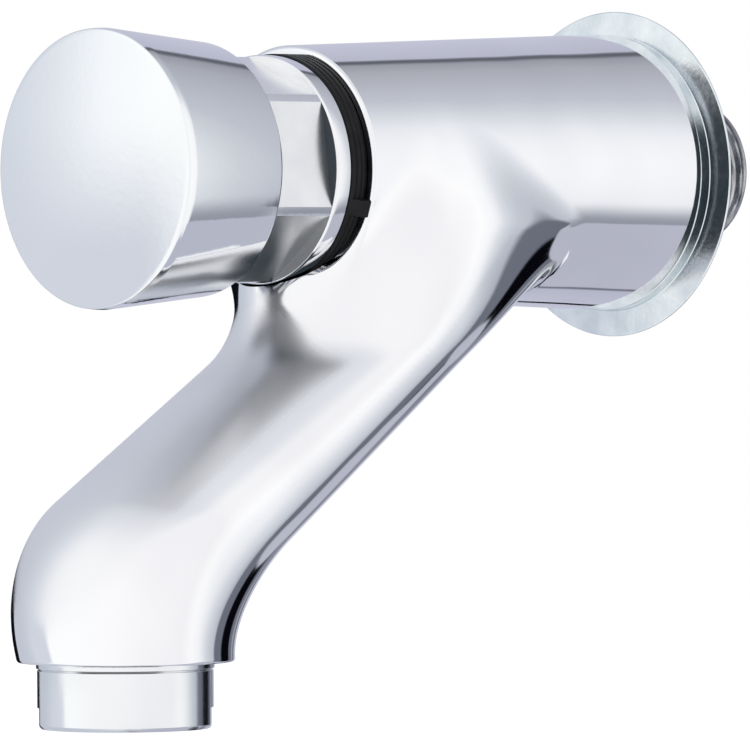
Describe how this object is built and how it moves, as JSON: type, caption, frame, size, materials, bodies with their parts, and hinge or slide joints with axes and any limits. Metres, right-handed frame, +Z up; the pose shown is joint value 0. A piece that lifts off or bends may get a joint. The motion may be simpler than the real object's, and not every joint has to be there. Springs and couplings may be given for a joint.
{
  "type": "push timed tap",
  "caption": "Wall-mounted push tap that closes itself: chromed tapered barrel with a down-turned spout, domed push button, wall flange, threaded tail and aerator.",
  "frame": {"origin": "on the axis of the barrel and the inlet thread, in the plane of the wall flange's back face", "axes": "+Z up, +Y into the wall along the inlet thread, the barrel and the button point out of the wall along -Y, +X to the right seen from the front"},
  "size_m": [0.0482, 0.1331, 0.1023],
  "materials": {
    "chrome_body": "polished chrome plate on cast brass",
    "chrome_bonnet": "polished chrome plate on turned brass",
    "chrome_button": "polished chrome plate",
    "satin_chrome": "fine turned, chrome plated",
    "zinc_plate": "bright zinc plate on pressed steel",
    "plated_thread": "nickel plated, machined",
    "plain_brass": "machined brass",
    "turned_steel": "stainless steel",
    "black_rubber": "matt black rubber",
    "fibre_seal": "pressed fibre",
    "white_plastic": "moulded acetal"
  },
  "bodies": {
    "tap": {"body": "chrome_body", "wall_flange": "zinc_plate", "inlet_nipple": "plated_thread", "inlet_strainer": "white_plastic", "nipple_seal": "fibre_seal", "seat_ring": "plain_brass", "return_spring": "turned_steel", "timing_sleeve": "white_plastic", "sleeve_oring": "black_rubber", "bonnet": "chrome_bonnet", "bonnet_gasket": "black_rubber", "guide_bush": "white_plastic", "spindle_oring": "black_rubber", "bush_circlip": "turned_steel", "aerator_housing": "satin_chrome", "aerator_washer": "black_rubber", "aerator_insert": "white_plastic", "aerator_screen": "turned_steel"},
    "plunger": {"push_button": "chrome_button", "button_lock_nut": "turned_steel", "spindle": "turned_steel", "piston": "white_plastic", "piston_cup_seal": "black_rubber", "bleed_jet": "plain_brass", "valve_washer": "black_rubber", "washer_holder": "plain_brass", "washer_nut": "plain_brass"}
  },
  "joints": [
    {"name": "button_push", "type": "slide", "parent": "tap", "child": "plunger", "axis": [0, 1, 0], "range_m": [0, 0.008], "stiffness_N_per_m": 1000, "springref_m": -0.012, "deforming": ["return_spring"]}
  ]
}
